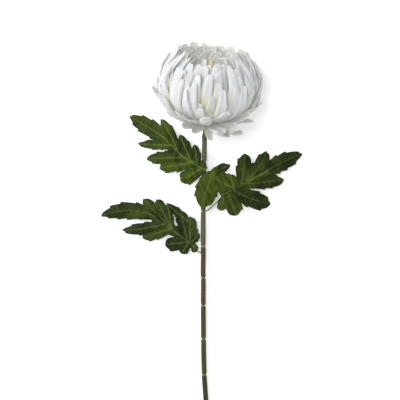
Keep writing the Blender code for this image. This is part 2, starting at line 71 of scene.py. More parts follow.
pin = node_points("flower_pin")
spread = np.linalg.svd(pin - pin.mean(axis=0), full_matrices=False)[2]
AXIS = spread[0] * np.sign(spread[0][2])
RIGHT = np.cross(AXIS, (0, 0, 1))
RIGHT /= np.linalg.norm(RIGHT)
FRONT = np.cross(RIGHT, AXIS)
lengths = (pin - pin.mean(axis=0)) @ AXIS
HEAD = pin.mean(axis=0) + AXIS * (lengths.min() + PIN_FOOT)
tipped = math.degrees(math.asin(AXIS[2]))
print("middle of the head in mm:", (HEAD / MM).round(1), "tipped up by", round(tipped, 1))

# %% [markdown]
# ## The camera
#
# The camera looks straight down from 1.3 m above the head, with a long lens so that the round head is not
# stretched. The stem runs out of the lower edge of the picture.

# %% The camera
PLAN = HEAD[:2] - np.array((10.5, 133.5)) * MM  # the origin that the plan measures below are given from

camera = bpy.data.objects.new("camera", bpy.data.cameras.new("camera"))
bpy.context.scene.collection.objects.link(camera)
bpy.context.scene.camera = camera
camera.data.lens = 100
camera.data.sensor_width = 36
camera.location = (*PLAN, HEAD[2] + 1.3133)
print("camera at", [round(value, 3) for value in camera.location])

# %% [markdown]
# ## Small helpers
#
# Three things are done again and again: a mesh is made into a piece that rides on the CAD model, a shader
# node is added with its settings, and a number is blended smoothly from 0 to 1.


# %% Helpers for pieces and numbers
def smooth(low, high, value):
    """0 at low, 1 at high, and a smooth rise between them."""
    share = np.clip((value - low) / (high - low), 0.0, 1.0)
    return share * share * (3 - 2 * share)


def piece(name, points, faces, finish, replaced, layers=None):
    """A named mesh object with one finish. layers are extra values per point for the finish to read."""
    mesh = bpy.data.meshes.new(name)
    mesh.from_pydata([tuple(point) for point in points], [], [tuple(face) for face in faces])
    mesh.shade_smooth()
    for layer, values in (layers or {}).items():
        values = np.asarray(values, float)
        kind = "FLOAT" if values.ndim == 1 else "FLOAT_COLOR"
        store = mesh.attributes.new(layer, kind, "POINT").data
        store.foreach_set("value" if values.ndim == 1 else "color", values.astype(np.float32).ravel())
    mesh.materials.append(finish)
    made = bpy.data.objects.new(name, mesh)
    bpy.context.scene.collection.objects.link(made)
    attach(made, "root")
    if replaced:
        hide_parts(*replaced)
    return made


def grid_faces(rows, columns, first=0, closed=False):
    """The four-sided faces of a grid of points, numbered row by row."""
    faces = []
    for row in range(rows - 1):
        for column in range(columns if closed else columns - 1):
            after = (column + 1) % columns
            low, high = first + row * columns, first + (row + 1) * columns
            faces.append((low + column, low + after, high + after, high + column))
    return faces


# %% Helpers for finishes
def finish(name, **sockets):
    """A material whose Principled shader has these socket values."""
    made = bpy.data.materials.new(name)
    made.use_nodes = True
    shader = made.node_tree.nodes["Principled BSDF"]
    for socket, value in sockets.items():
        shader.inputs[socket.replace("_", " ")].default_value = value
    return made, made.node_tree, shader


def add(tree, kind, inputs=None, **settings):
    """A shader node with its settings; each input is a value, or a socket to link from."""
    node = tree.nodes.new(kind)
    for key, value in settings.items():
        setattr(node, key, value)
    for key, value in (inputs or {}).items():
        if isinstance(value, bpy.types.NodeSocket):
            tree.links.new(value, node.inputs[key])
        else:
            node.inputs[key].default_value = value
    return node


def maths(tree, operation, first, second=0.0, third=0.0):
    """One step of arithmetic in a shader."""
    return add(tree, "ShaderNodeMath", {0: first, 1: second, 2: third}, operation=operation).outputs[0]


def mixed(tree, factor, first, second, how="MIX"):
    """Two colours mixed."""
    node = add(tree, "ShaderNodeMix", data_type="RGBA", blend_type=how)
    for key, value in ((0, factor), (6, first), (7, second)):
        if isinstance(value, bpy.types.NodeSocket):
            tree.links.new(value, node.inputs[key])
        else:
            node.inputs[key].default_value = value
    return node.outputs[2]


def layer_value(tree, name, socket="Fac"):
    """A value that a mesh stores at its points."""
    return add(tree, "ShaderNodeAttribute", attribute_name=name).outputs[socket]


# %% [markdown]
# ## The cloth
#
# Petals and leaves are cut from thin stiffened polyester. Close up it shows a fine, even weave. The weave is
# two sets of waves at right angles. It is used by several finishes, so it is a node group, built once, with
# the thread spacing as an input.


# %% A node group for woven cloth
def woven_group():
    tree = bpy.data.node_groups.new("woven_cloth", "ShaderNodeTree")
    spacing = tree.interface.new_socket("Threads per metre", in_out="INPUT", socket_type="NodeSocketFloat")
    spacing.default_value = 2500
    tree.interface.new_socket("Height", in_out="OUTPUT", socket_type="NodeSocketFloat")
    tree.interface.new_socket("Flecks", in_out="OUTPUT", socket_type="NodeSocketFloat")
    start = tree.nodes.new("NodeGroupInput")
    end = tree.nodes.new("NodeGroupOutput")
    place = add(tree, "ShaderNodeTexCoord").outputs["Object"]
    sizes = {0: place, "Scale": start.outputs[0]}
    scaled = add(tree, "ShaderNodeVectorMath", sizes, operation="SCALE").outputs[0]
    parts = add(tree, "ShaderNodeSeparateXYZ", {0: scaled}).outputs
    warp = maths(tree, "SINE", maths(tree, "MULTIPLY", parts[0], 6.283))
    across = maths(tree, "ADD", parts[1], parts[2])
    weft = maths(tree, "SINE", maths(tree, "MULTIPLY", across, 6.283))
    tree.links.new(maths(tree, "MULTIPLY", warp, weft), end.inputs["Height"])
    noise = add(tree, "ShaderNodeTexNoise", {"Vector": scaled, "Scale": 0.35, "Detail": 2.0})
    tree.links.new(noise.outputs["Fac"], end.inputs["Flecks"])
    return tree


WOVEN = woven_group()
print("node group:", WOVEN.name)

# %% [markdown]
# ## The petals' finish
#
# The petals are white. Deep between them, near their base where other petals cover them, they are painted
# ivory-green:
# painted shade, and painted light that has passed through several layers. Each petal has faint ribs along it,
# pressed by the
# heated tool that gave it its curve. Petals differ a little in tint, which keeps the head from looking cast
# in one piece. They glow very slightly, in place of light that passes through thin cloth. The two lowest
# rings get a darker, greyer copy of this finish: painted shade, for the shade of the head that they lie in.


# %% The petal finish
def petal_finish(name, painted_shade_colour, open_colour, warm):
    made, tree, shader = finish(
        name, Roughness=0.7, Subsurface_Weight=1.0, Subsurface_Scale=0.001, Specular_IOR_Level=0.15,
        Emission_Color=(1.0, 1.0, 0.93, 1), Emission_Strength=0.085,
    )
    shader.inputs["Subsurface Radius"].default_value = (1.0, 1.0, 0.92)
    along, across, tint = (layer_value(tree, name) for name in ("along", "across", "tint"))
    clear_of_painted_shade = layer_value(tree, "clear_of_painted_shade")
    # Painted shade and painted light through the layers: ivory-green where the petal is covered, white where
    # it is not.
    colour = mixed(tree, clear_of_painted_shade, painted_shade_colour, open_colour)
    colour = mixed(tree, maths(tree, "MULTIPLY", tint, 0.5), colour, warm)
    stretched, shifted = maths(tree, "MULTIPLY", across, 5.0), maths(tree, "MULTIPLY", tint, 40.0)
    where = add(tree, "ShaderNodeCombineXYZ", {0: stretched, 1: along, 2: shifted}).outputs[0]
    streaks = add(tree, "ShaderNodeTexNoise", {"Vector": where, "Scale": 1.6, "Detail": 3.0}).outputs["Fac"]
    streak_dark = add(tree, "ShaderNodeMapRange", {0: streaks, 1: 0.35, 2: 0.65, 3: 0.92, 4: 1.0}).outputs[0]
    colour = mixed(tree, 1.0, colour, streak_dark, "MULTIPLY")
    tree.links.new(colour, shader.inputs["Base Color"])
    cloth = add(tree, "ShaderNodeGroup", node_tree=WOVEN)
    cloth.inputs["Threads per metre"].default_value = 2200
    height = maths(tree, "MULTIPLY_ADD", cloth.outputs["Height"], 0.06, streaks)
    bump = add(tree, "ShaderNodeBump", {"Height": height, "Strength": 0.35, "Distance": 0.0006})
    tree.links.new(bump.outputs[0], shader.inputs["Normal"])
    return made


# The first colour is painted shade and painted light for the covered parts, the second the petals' own white,
# the third their warm tint.
PETAL_CLOTH = petal_finish(
    "petal_cloth", (0.65, 0.66, 0.45, 1), (0.675, 0.68, 0.705, 1), (0.64, 0.635, 0.575, 1)
)
# A darker, greyer copy of the petal finish for the two lowest rings: painted shade, for the head's shade they
# lie in.
SHADED_OUTER_CLOTH = petal_finish(
    "outer_petal_painted_shade", (0.45, 0.46, 0.33, 1), (0.58, 0.585, 0.59, 1), (0.54, 0.54, 0.475, 1)
)
print("finishes:", PETAL_CLOTH.name, SHADED_OUTER_CLOTH.name)

# %% [markdown]
# ## The flower head
#
# The head is made as the real one is: rings of petals, each cut from one piece of cloth and threaded on the
# pin, smaller and steeper towards the middle. In side view the petals of a ring follow an oval, and the
# ovals are nested. The two lowest rings spread outwards at the front right, where they show their hollow
# insides, and droop a little at the front left. Front is the side of the head that faces up and towards
# the stem. The lowest petals of the underside are leaned back.

# %% The rings, from the lowest to the highest
class Ring(NamedTuple):
    """How many petals, half the width of one, the radius where the ring is widest, the angle round its
    oval from the hub to the tips, and the height of the tips. In millimetres and degrees."""

    count: int
    half: float
    girth: float
    turn: float
    rise: float


RINGS = (
    Ring(20, 7.4, 66.5, 76, -7),
    Ring(20, 7.4, 65, 93, 7),
    Ring(23, 6.7, 63, 127, 36),
    Ring(23, 6.7, 60.6, 132, 39.2),
    Ring(22, 6.7, 58.4, 135.5, 41.2),
    Ring(21, 6.6, 55.5, 138, 42.2),
    Ring(19, 6.6, 52, 140, 42.2),
    Ring(17, 6.4, 47.5, 141, 41.2),
    Ring(15, 6.2, 42, 142, 39.8),
    Ring(12, 6.0, 36, 142, 38.2),
    Ring(10, 5.4, 29, 142, 36.8),
    Ring(7, 4.8, 21.5, 141, 35.6),
    Ring(5, 3.6, 14, 142, 34.6),
)
FIRST_INCURVED = 2
HUB_LOW = -42 * MM
HUB_PITCH = 2.0 * MM
HUB_RADII = 5 * MM, 3.6 * MM
SETTLE_FROM = 42 * MM
SETTLE_GIVE = 30 * MM


def hub_radius(ring):
    low, high = HUB_RADII
    return low + (high - low) * ring / (len(RINGS) - 1)


def snug_profile(ring, share, leaned=0.0):
    """Radius and height on the oval of a ring whose petals curve in, for an array of shares. The lowest
    petals are leaned back, up to 1, so that the head is open there like a bowl."""
    radius, last = RINGS[ring].girth * MM, math.radians(RINGS[ring].turn * (1 - 0.15 * leaned))
    low = HUB_LOW + ring * HUB_PITCH
    rise = (RINGS[ring].rise - (5 + 1.2 * (ring - FIRST_INCURVED)) * leaned) * MM
    half = (rise - low) / (1 - math.cos(last))
    first = math.asin(hub_radius(ring) / radius)
    angle = first + (last - first) * share
    lift = half * (1 - math.cos(first)) * np.clip(1 - share, 0, 1)
    return radius * np.sin(angle), low + half * (1 - np.cos(angle)) - lift


def open_profile(ring, share):
    """The same for a petal of a spreading ring that stands free."""
    low = HUB_LOW + ring * HUB_PITCH
    bend = (36 * MM, (-48 + 5 * ring) * MM)
    tip = ((70 + 4 * ring) * MM, (-37 + 6 * ring) * MM)
    ends = ((hub_radius(ring), low), bend, tip)
    weights = (1 - share) ** 2, 2 * share * (1 - share), share**2
    return tuple(sum(end[k] * weight for end, weight in zip(ends, weights)) for k in (0, 1))


def openness(ring, angle):
    """How far a petal at this angle stands open, from 0 to 1."""
    if ring >= FIRST_INCURVED:
        return 0.0
    turn = math.degrees(angle) % 360
    drooping = (0.8, 0.42)[ring] * smooth(165, 98, turn) * smooth(60, 100, turn)
    spread = smooth(8 + 8 * ring, 56 + 8 * ring, turn) * smooth(94, 82, turn)
    return float(max(drooping, spread))


print("rings:", len(RINGS), "petals:", sum(ring.count for ring in RINGS))

# %% [markdown]
# One petal is a small grid of points. It starts narrow at the hub, swells, and ends in a rounded tip with a
# slight notch. Across, it is bent like a shallow gutter, deepest near the tip. Chance shifts each petal a
# little in angle, length, twist and curl, because the real ones are set by hand. The draws come from one
# seeded source, so the head is the same on each run.

# %% The shape of one petal
ROWS, COLUMNS = 21, 11
INNER_FROM = 7  # the rings from this one on have wider, flatter petals

# The shortest and longest petal of each ring, as shares of the full length. The last value holds for all
# the rings after it.
SHORTEST = (0.88, 0.82, 0.40, 0.48, 0.56, 0.66, 0.74, 0.82, 0.90)
LONGEST = (1.06, 1.03, 0.92, 0.97, 1.0, 1.02, 1.03)
chance = random.Random(11)


def petal(ring, angle):
    """The points of one petal, and its along and across values.

    In the rings that curve in, under is how far the petal is on the head's underside, from 0 to 1, and
    leaned how far it is on the lowest part of that, where petals lean back. Petals of the underside and
    opened ones are kept nearly full length.
    """
    pitch = 2 * math.pi / RINGS[ring].count
    opened = openness(ring, angle)
    under = float(smooth(0.3, -0.4, math.sin(angle))) if ring >= FIRST_INCURVED else 0.0
    shortest, longest = (limits[min(ring, len(limits) - 1)] for limits in (SHORTEST, LONGEST))
    kept_long = max(under, opened)
    shortest += (0.95 - shortest) * kept_long
    longest += (1.04 - longest) * kept_long
    reach = chance.uniform(shortest, longest)
    reach *= 1 - 0.15 * opened * float(smooth(90, 104, math.degrees(angle) % 360))
    blunt = float(smooth(1.0, 0.7, reach)) * (1 - opened)
    leaned = float(smooth(-0.5, -0.95, math.sin(angle))) if ring >= FIRST_INCURVED else 0.0
    angle += chance.uniform(-0.2, 0.2) * pitch * (1 if ring >= FIRST_INCURVED else 0.4)
    drift = chance.uniform(-0.38, 0.38) * pitch * (1 - 0.6 * under) * (1 - 0.9 * opened)
    twist = chance.uniform(-0.36, 0.36) * (1 - 0.6 * under) + 0.7 * opened * math.cos(angle)
    lift = chance.uniform(-0.4, 1.4) * MM
    curl = chance.choice((-3.5, -2.6, -1.5, -0.5, 0.5, 2.0)) * MM
    widening = (-0.15 if ring == 0 else 0.4) * opened + 0.15 * blunt + 0.35 * under
    wide = chance.uniform(0.88, 1.12) * (1 + widening)
    notch = chance.uniform(0.0, 0.025)
    notch_at = chance.uniform(-0.4, 0.4)
    groove = chance.uniform(0.5, 1.7) * MM
    wave = chance.uniform(0, 2 * math.pi)

    across = np.linspace(-1, 1, COLUMNS)[None, :]
    row = np.linspace(0, 1, ROWS)[:, None] ** 0.85
    roundness = (0.075 if ring < 9 else 0.10) + 0.03 * blunt - 0.03 * leaned
    dent = notch * np.exp(-(((across - notch_at) / 0.2) ** 2))
    end = 1 - (roundness * np.abs(across) ** 2.4 + dent) * smooth(0.3, 1, row)
    share = row * reach * end
    snug, free = snug_profile(ring, share, leaned), open_profile(ring, share)
    radius, height = (a * (1 - opened) + b * opened for a, b in zip(snug, free))
    snug, free = snug_profile(ring, share + 0.01, leaned), open_profile(ring, share + 0.01)
    step = [a * (1 - opened) + b * opened - now for a, b, now in zip(snug, free, (radius, height))]
    size = np.hypot(*step)
    run_out, run_up = step[0] / size, step[1] / size

    half = RINGS[ring].half * MM * wide * np.sin(math.pi / 2 * np.clip(row / 0.6, 0, 1)) ** 1.2
    inner = 1.0 if ring >= INNER_FROM else 0.0
    drawn_in = 1 - (0.3 - 0.2 * max(leaned, inner)) * smooth(0.82, 1.0, row)
    half = half * (1 + 0.15 * inner) * drawn_in + 0.9 * MM * (1 - row)
    half = np.minimum(half, (0.62 + 0.15 * inner) * pitch * radius + 0.6 * MM)
    bend = 0.7 + (0.5 - 0.3 * inner) * smooth(0.45, 1.0, row) + 0.4 * opened
    sideways = half * np.sin(bend * across) / bend
    inwards = half * (1 - np.cos(bend * across)) / bend
    furrow = groove * np.exp(-((across / 0.28) ** 2)) * smooth(0.15, 0.5, row)
    ribs = 0.3 * MM * np.cos(across * 9.4) * smooth(0.1, 0.4, row)
    ripple = 0.6 * MM * np.sin(wave + 9 * row + 2.2 * across) * row
    outwards = lift * row**2 + curl * smooth(0.72, 1.0, row) ** 2 - inwards - furrow + ribs + ripple
    turn = twist * smooth(0.2, 1.0, row)
    turned = sideways * np.cos(turn) - outwards * np.sin(turn) * 0.3
    sideways, outwards = turned, outwards + sideways * np.sin(turn)

    here = angle + drift * row**2
    out = RIGHT * np.cos(here)[..., None] + FRONT * np.sin(here)[..., None]
    side = FRONT * np.cos(here)[..., None] - RIGHT * np.sin(here)[..., None]
    normal = out * run_up[..., None] - AXIS * run_out[..., None]
    points = out * radius[..., None] + AXIS * height[..., None]
    points = points + side * sideways[..., None] + normal * outwards[..., None]
    along, across = (np.broadcast_to(values, (ROWS, COLUMNS)).ravel() for values in (share, across))
    return points.reshape(-1, 3), along, across


def petal_angles(ring):
    """The angles of a ring's petals; every second ring is turned by half a petal."""
    count = RINGS[ring].count
    start = math.radians(82) + math.pi / count * (ring % 2)
    return [start + 2 * math.pi * k / count for k in range(count)]


def settled(points):
    """The head's weight presses its lowest petals a little flat on the table."""
    under = np.clip(-SETTLE_FROM - points[:, 2], 0, None)
    points[:, 2] += under - under / (1 + under / SETTLE_GIVE)
    return points


# %% All the rings
PETAL_THICK = 0.35 * MM


def solid_cloth(made, thickness, levels=1):
    """Rounds a piece of cloth with subdivision and gives it its thickness."""
    rounding = made.modifiers.new("rounding", "SUBSURF")
    rounding.levels = rounding.render_levels = levels
    body = made.modifiers.new("thickness", "SOLIDIFY")
    body.thickness = thickness
    body.offset = 0
    return made


def petal_ring(ring):
    points, faces, along, across, tint, clear_of_painted_shade = [], [], [], [], [], []
    for angle in petal_angles(ring):
        faces += grid_faces(ROWS, COLUMNS, sum(len(p) for p in points))
        shape, far, wide = petal(ring, angle)
        points.append(shape)
        along.append(far)
        across.append(wide)
        leaned = smooth(0.1, 0.7, -math.sin(angle))
        tint.append(np.full(len(far), leaned + (1 - leaned) * chance.random() ** 2))
        # How much of each petal lies covered, where it gets the painted shade colour.
        covered = min(0.5, 0.1 * ring) if ring < INNER_FROM else 0.25
        if ring <= FIRST_INCURVED:
            covered = 0.1
        clear_of_painted_shade.append(smooth(covered - 0.1, covered + 0.3, far))
    place = settled(np.concatenate(points)) + HEAD
    place[:, 2] = np.maximum(place[:, 2], PETAL_THICK)
    layers = {"along": np.concatenate(along), "across": np.concatenate(across), "tint": np.concatenate(tint)}
    layers["clear_of_painted_shade"] = np.concatenate(clear_of_painted_shade)
    name = f"petal_ring_{ring + 1:02d}"
    # The two lowest rings take the painted shade copy of the finish.
    cloth = SHADED_OUTER_CLOTH if ring < FIRST_INCURVED else PETAL_CLOTH
    made = piece(f"petals_{ring + 1:02d}", place, faces, cloth, [name], layers)
    return solid_cloth(made, PETAL_THICK)


petal_rings = [petal_ring(ring) for ring in range(len(RINGS))]
print("petal pieces:", len(petal_rings))

# %% [markdown]
# ## The leaves
#
# A leaf is one piece of cloth in the outline of a chrysanthemum leaf: lobes on both sides of a middle vein,
# each with a few teeth. It was pressed in a mould, so its veins are raised lines with soft hollows between
# them. Each lobe is described by the two ends of its own vein and its greatest half width. The leaf's
# outline is the union of its lobes, which Blender's 2D triangulation finds.


# %% The lobes of each leaf, in millimetres from the plan's origin
class Lobe(NamedTuple):
    """Both ends of the lobe's vein as (x, y, height), its greatest half width, its bow to the left, how
    blunt its tip is, and how light it is painted, from 0 to 1: partly the dye's tone, partly painted light
    and shade for how the lobe is tilted."""

    start: tuple
    tip: tuple
    half: float
    bow: float = 0.0
    blunt: float = 2.8
    light: float = 0.35


LEAVES = {
    "leaf_upper_left": (
        Lobe((7, 36, 16.6), (-24, 54, 17), 9, 0),
        Lobe((-19, 51, 17), (-46, 77, 17), 8, 0),
        Lobe((-40, 73, 17), (-87, 103, 1), 10.5, -1),
        Lobe((-28, 61, 17), (-48, 99, 12), 7.5, -1, 2.8, 0.6),
        Lobe((-10, 46, 17), (-25, 80, 10), 7.5, 0, 2.8, 0.15),
        Lobe((-3, 43, 16.6), (-7, 68, 13), 6, 0, 2.8, 0),
        Lobe((-30, 66, 17), (-77, 69, 3), 6, 0),
        Lobe((-16, 51, 17), (-66, 50, 3), 8, -1, 3.5),
        Lobe((-8, 46, 17), (-50, 39, 5), 8, 0, 5, 0.8),
        Lobe((2, 39, 16.6), (-24, 23, 7), 9.5, 0, 5, 0.9),
    ),
    "leaf_right": (
        Lobe((25, 5, 24), (64, 25, 17), 10, 0),
        Lobe((58, 23, 18), (83, 35, 14), 8, 0),
        Lobe((73, 31, 15), (126, 57, 1), 10.5, 1.5, 2.8, 0),
        Lobe((57, 25, 18), (81, 60, 8), 9, -4, 4),
        Lobe((50, 20, 19), (55, 57, 8), 9.5, -1, 4, 0.1),
        Lobe((52, 20, 18), (103, 25, 4), 8, -1, 5),
        Lobe((42, 11, 19), (87, -5, 1), 11, -2, 4),
        Lobe((35, 8, 23), (45, -19, 8), 10, 0, 5, 0.9),
        Lobe((29, 4, 23), (25, -13, 14), 6, 0, 5, 1.1),
        Lobe((12, 31, 23), (37, 43, 17), 6, 0, 2.8, 0.1),
        Lobe((41, 12, 22), (37, 31, 20), 7, 0, 4, 0.5),
        Lobe((40, 15, 26), (15, 27, 25), 13, 0, 2.8, 1),
        Lobe((16, 33, 23), (4, -11, 19), 14, -2, 2.8, 1.3),
    ),
    "leaf_lower_left": (
        Lobe((-3, -60, 9.5), (-31, -38, 15), 5, 0),
        Lobe((-25, -43, 15), (-62, -18, 14), 8, 0),
        Lobe((-54, -20, 15), (-122, -20, 1), 10.5, -7),
        Lobe((-34, -35, 15), (-70, 1, 6), 8.5, 0, 5),
        Lobe((-36, -32, 15), (-53, 1, 8), 7, 0, 5),
        Lobe((-34, -34, 15), (-40, -5, 12), 4.5, 0),
        Lobe((-43, -29, 15), (-96, -37, 2), 7.5, 2),
        Lobe((-35, -35, 15), (-71, -46, 3), 7.5, 0, 5),
        Lobe((-15, -50, 14), (-24, -13, 8), 8.5, 0, 4, 0.1),
        Lobe((-15, -26, 9), (-41, -4, 10), 5.5, 0),
        Lobe((-12, -50, 14), (-12, -20, 9), 9, 0, 4),
        Lobe((-10, -52, 13), (-1, -40, 12), 5, 0),
        Lobe((-14, -51, 14), (-43, -55, 3), 9, 0, 5, 0.15),
        Lobe((-14, -52, 13), (-23, -66, 2), 6, 0, 5, 0.1),
        Lobe((-8, -56, 12), (-6, -64, 11), 4, 0, 5),
    ),
}
print("lobes:", {name: len(lobes) for name, lobes in LEAVES.items()})


# %% Lines and edges of a lobe
def vein_points(lobe, shares):
    """Points (x, y, height) of the lobe's vein."""
    start, tip = np.array(lobe.start, float), np.array(lobe.tip, float)
    run = tip - start
    left = np.array((-run[1], run[0], 0)) / np.hypot(run[0], run[1])
    shares = np.asarray(shares)[:, None]
    return start + run * shares + left * (lobe.bow * 4 * shares * (1 - shares))


def lobe_half(lobe, shares):
    """Half the lobe's width along its vein."""
    grown = 0.45 + 0.55 * np.sin(math.pi / 2 * np.clip(shares / 0.45, 0, 1))
    closed = 1 - np.clip((shares - 0.45) / 0.55, 0, 1) ** lobe.blunt
    return lobe.half * np.where(shares < 0.45, grown, closed)


def toothed(lobe, shares, shift):
    """The same with teeth, which point towards the tip."""
    length = math.dist(lobe.start[:2], lobe.tip[:2])
    teeth = max(2, round(length / 13))
    saw = (shares * teeth + shift + 0.15 * np.sin(9 * shares + length)) % 1.0
    depth = min(2.2, 0.22 * lobe.half) * smooth(0.15, 0.4, shares) * (1 - smooth(0.93, 1.0, shares))
    return np.clip(lobe_half(lobe, shares) + depth * (saw**1.4 - 0.45), 0.1, None)


def lobe_outline(lobe, steps):
    shares = np.linspace(0, 1, steps + 1)[:-1]
    middle, ahead = vein_points(lobe, shares)[:, :2], vein_points(lobe, shares + 0.01)[:, :2]
    along = (ahead - middle) / np.linalg.norm(ahead - middle, axis=1)[:, None]
    across = np.stack((along[:, 1], -along[:, 0]), axis=1)
    right = middle + across * toothed(lobe, shares, 0.0)[:, None]
    left = middle - across * toothed(lobe, shares, 0.45)[:, None]
    return np.concatenate((right, vein_points(lobe, [1.0])[:, :2], left[::-1]))


# %% The leaf's outline and its inside
def union_border(outlines):
    """The outside edges of overlapping outlines, as points and pairs of their numbers."""
    points, faces = [], []
    for outline in outlines:
        faces.append(list(range(len(points), len(points) + len(outline))))
        points += [Vector(point) for point in outline]
    found = delaunay_2d_cdt(points, [], faces, 1, 1e-5)
    uses = {}
    for triangle, owner in zip(found[2], found[5]):
        if owner:
            for k in range(3):
                edge = tuple(sorted((triangle[k], triangle[k - 1])))
                uses[edge] = uses.get(edge, 0) + 1
    border = [edge for edge, count in uses.items() if count == 1]
    used = sorted({number for edge in border for number in edge})
    number = {old: new for new, old in enumerate(used)}
    return np.array([found[0][old] for old in used]), [(number[a], number[b]) for a, b in border]


def inside(outlines, places):
    """Which of the places lie inside any outline."""
    hit = np.zeros(len(places), bool)
    x, y = places[:, :1], places[:, 1:]
    for outline in outlines:
        ax, ay = outline.T
        bx, by = np.roll(outline, -1, axis=0).T
        crosses = (ay > y) != (by > y)
        with np.errstate(divide="ignore", invalid="ignore"):
            reach = ax + (y - ay) / (by - ay) * (bx - ax)
        hit |= (crosses & (x < reach)).sum(axis=1) % 2 == 1
    return hit


def fill_places(outlines, border, spacing):
    """Places on a triangular grid inside the leaf, and clear of its edge."""
    low, high = border.min(axis=0), border.max(axis=0)
    rise = spacing * math.sqrt(3) / 2
    rows, columns = int((high[1] - low[1]) / rise) + 1, int((high[0] - low[0]) / spacing) + 1
    row, column = np.mgrid[0:rows, 0:columns]
    across, up = low[0] + (column + row % 2 / 2) * spacing, low[1] + row * rise
    places = np.stack((across, up), axis=-1).reshape(-1, 2)
    places = places[inside(outlines, places)]
    tree = near_tree(border)
    clear = [tree.find((*place, 0))[2] > 0.6 * spacing for place in places]
    return places[np.array(clear)]


def near_tree(places):
    tree = kdtree.KDTree(len(places))
    for number, place in enumerate(places):
        tree.insert((*place, 0), number)
    tree.balance()
    return tree


# %% [markdown]
# The height of the blade over a place is a mean of the heights of the veins near it. The same distances say
# where the veins are. From each lobe's vein, side veins leave at an angle on both sides. The blade falls a
# little away from each vein, and has soft waves and, where it is painted light, finer creases. Three values
# are stored at each point for the finish: how much of a vein it is, how near the leaf's edge, and how light
# it is painted, which holds the dye's tone and painted light and shade for the lobes' tilt and the creases.


# %% Height and veins of a blade
def blade_height(lobes, places):
    total, weight = np.zeros(len(places)), np.zeros(len(places))
    for lobe in lobes:
        for vein in vein_points(lobe, np.linspace(0, 1, 9)):
            near = 1 / (((places - vein[:2]) ** 2).sum(axis=1) + 2.5**2) ** 2
            total += near * vein[2]
            weight += near
    return total / weight


def blade_veins(lobes, places):
    """How much of a main vein and of a side vein each place is, how far it is folded down from the vein,
    and how light it is painted: the dye's tone and painted light and shade for the lobe's tilt."""
    best = np.full(len(places), 1e9)
    main, side, fold, tone_and_painted_light = (np.zeros(len(places)) for _ in range(4))
    for lobe in lobes:
        shares = np.linspace(0, 1, 41)
        line = vein_points(lobe, shares)[:, :2]
        length = np.linalg.norm(np.diff(line, axis=0), axis=1).sum()
        gaps = places[:, None] - line[None]
        far = np.hypot(gaps[..., 0], gaps[..., 1])
        nearest = far.argmin(axis=1)
        away = far[np.arange(len(places)), nearest]
        share = shares[nearest]
        gap = gaps[np.arange(len(places)), nearest]
        run = line[-1] - line[0]
        left = np.sign(run[0] * gap[:, 1] - run[1] * gap[:, 0])
        inner = (gap @ (run / length)) * ((share > 0) & (share < 1))
        main = np.maximum(main, np.exp(-((away / (0.6 - 0.25 * share)) ** 2)))
        wave = ((share * length + inner - 1.15 * away) / 6.5 + 0.25 * left) % 1.0
        shown = smooth(0.2, 1.2, away) * (1 - smooth(5, 9, away))
        lines = np.exp(-(((wave - 0.5) * 6.5 / 0.45) ** 2)) * shown
        closer = away / lobe.half < best
        side = np.where(closer, lines, side)
        fold = np.where(closer, away * (0.24 + 0.1 * left * math.sin(lobe.tip[0])), fold)
        # Each lobe's lightness: partly the dye's tone, partly painted light and shade for the lobe's tilt.
        tone_and_painted_light = np.where(closer, lobe.light, tone_and_painted_light)
        best = np.where(closer, away / lobe.half, best)
    return main, side, fold, tone_and_painted_light


# %% The leaves' finish
def leaf_finish(name, dark, light, vein):
    made, tree, shader = finish(name, Roughness=0.5, Specular_IOR_Level=0.12)
    veins, edge = layer_value(tree, "vein"), layer_value(tree, "edge")
    place = add(tree, "ShaderNodeTexCoord").outputs["Object"]
    patches = add(tree, "ShaderNodeTexNoise", {"Vector": place, "Scale": 38.0, "Detail": 4.0}).outputs["Fac"]
    mottled = add(tree, "ShaderNodeMapRange", {0: patches, 1: 0.35, 2: 0.65, 3: -0.5, 4: 0.6}).outputs[0]
    # The colour runs from dark to light with a mottled tone and the stored lightness, which holds painted
    # light and shade as well as the dye's tone.
    tone_and_painted_light_parts = {0: mottled, 1: layer_value(tree, "tone_and_painted_light")}
    tone_and_painted_light = add(tree, "ShaderNodeMath", tone_and_painted_light_parts, operation="ADD", use_clamp=True)
    colour = mixed(tree, tone_and_painted_light.outputs[0], dark, light)
    colour = mixed(tree, veins, colour, vein)
    edge_shade = (*(0.55 * value for value in dark[:3]), 1)
    colour = mixed(tree, maths(tree, "MULTIPLY", edge, 0.6), colour, edge_shade)
    tree.links.new(colour, shader.inputs["Base Color"])
    cloth = add(tree, "ShaderNodeGroup", node_tree=WOVEN)
    cloth.inputs["Threads per metre"].default_value = 2200
    rough = add(tree, "ShaderNodeMapRange", {0: patches, 1: 0.3, 2: 0.7, 3: 0.42, 4: 0.6}).outputs[0]
    tree.links.new(rough, shader.inputs["Roughness"])
    height = maths(tree, "MULTIPLY_ADD", cloth.outputs["Height"], 0.15, maths(tree, "MULTIPLY", patches, 0.4))
    bump = add(tree, "ShaderNodeBump", {"Height": height, "Strength": 0.35, "Distance": 0.0005})
    tree.links.new(bump.outputs[0], shader.inputs["Normal"])
    return made


LEAF_FINISHES = {
    "leaf_upper_left": leaf_finish(
        "leaf_cloth_light", (0.021, 0.032, 0.005, 1), (0.056, 0.086, 0.006, 1), (0.17, 0.23, 0.045, 1)
    ),
    "leaf_right": leaf_finish(
        "leaf_cloth_mid", (0.015, 0.025, 0.005, 1), (0.054, 0.083, 0.006, 1), (0.13, 0.18, 0.04, 1)
    ),
    "leaf_lower_left": leaf_finish(
        "leaf_cloth_dark", (0.016, 0.026, 0.005, 1), (0.042, 0.064, 0.007, 1), (0.13, 0.18, 0.04, 1)
    ),
}

# %% The blades
BLADE_SPACING = 0.85
LEAF_THICK = 0.35 * MM


